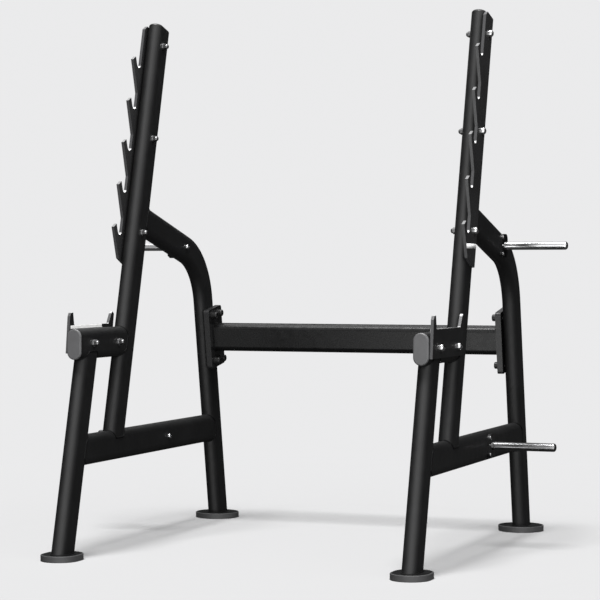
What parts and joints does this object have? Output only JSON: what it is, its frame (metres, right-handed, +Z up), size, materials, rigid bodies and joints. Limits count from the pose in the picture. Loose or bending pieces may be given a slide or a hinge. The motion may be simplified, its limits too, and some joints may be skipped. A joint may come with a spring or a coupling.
{
  "type": "olympic squat rack",
  "caption": "Free-standing squat rack: leaning uprights with saw-tooth bar hooks, low bar catches, rear crossbeam and chrome plate storage horns.",
  "frame": {"origin": "on the floor, in the middle of the rack's overall width and depth", "axes": "+X to the right as seen by someone standing in front of the rack, -Y the open side the lifter steps in from, +Y the crossbeam side, +Z up"},
  "size_m": [1.67, 1.424, 1.7836],
  "materials": {
    "tube_coat": "satin charcoal powder coat with a fine texture",
    "plate_coat": "satin black powder coat on plate, lighter along cut edges",
    "cap_plastic": "moulded grey end cap, fine grain",
    "foot_steel": "satin black powder coat",
    "foot_rubber": "matte moulded rubber",
    "cap_black": "moulded black end cap, fine grain",
    "wear_strip": "pale slippery plastic, slightly scuffed",
    "fastener_chrome": "bright plated",
    "fastener_black": "black oxide, slightly oily",
    "horn_chrome": "polished chrome plating, faint lengthwise rub marks"
  },
  "bodies": {
    "root": {"right_front_leg": "tube_coat", "right_upright": "tube_coat", "right_rear_leg": "tube_coat", "right_lower_brace": "tube_coat", "right_catch_tube": "tube_coat", "right_upright_cap": "cap_black", "right_catch_tube_cap": "cap_plastic", "right_front_foot_plate": "foot_steel", "right_rear_foot_plate": "foot_steel", "right_front_foot_pad": "foot_rubber", "right_rear_foot_pad": "foot_rubber", "right_hook_plate": "plate_coat", "right_hook_plate_bolts": "fastener_chrome", "right_hook_plate_nuts": "fastener_chrome", "right_catch_bracket": "plate_coat", "right_catch_strip": "wear_strip", "right_catch_bracket_bolts": "fastener_chrome", "right_catch_bracket_nuts": "fastener_chrome", "right_nut_washers": "fastener_chrome", "right_leg_mount_plate": "plate_coat", "right_beam_flange": "plate_coat", "right_flange_washers": "fastener_black", "right_flange_bolts": "fastener_black", "right_upper_horn": "horn_chrome", "right_upper_horn_flange": "plate_coat", "right_lower_horn": "horn_chrome", "right_lower_horn_flange": "plate_coat", "right_horn_bolts": "fastener_chrome", "right_horn_flange_screws": "fastener_chrome", "left_front_leg": "tube_coat", "left_upright": "tube_coat", "left_rear_leg": "tube_coat", "left_lower_brace": "tube_coat", "left_catch_tube": "tube_coat", "left_upright_cap": "cap_black", "left_catch_tube_cap": "cap_plastic", "left_front_foot_plate": "foot_steel", "left_rear_foot_plate": "foot_steel", "left_front_foot_pad": "foot_rubber", "left_rear_foot_pad": "foot_rubber", "left_hook_plate": "plate_coat", "left_hook_plate_bolts": "fastener_chrome", "left_hook_plate_nuts": "fastener_chrome", "left_catch_bracket": "plate_coat", "left_catch_strip": "wear_strip", "left_catch_bracket_bolts": "fastener_chrome", "left_catch_bracket_nuts": "fastener_chrome", "left_nut_washers": "fastener_chrome", "left_leg_mount_plate": "plate_coat", "left_beam_flange": "plate_coat", "left_flange_washers": "fastener_black", "left_flange_bolts": "fastener_black", "left_upper_horn": "horn_chrome", "left_upper_horn_flange": "plate_coat", "left_lower_horn": "horn_chrome", "left_lower_horn_flange": "plate_coat", "left_horn_bolts": "fastener_chrome", "left_horn_flange_screws": "fastener_chrome", "crossbeam": "tube_coat"}
  },
  "joints": []
}
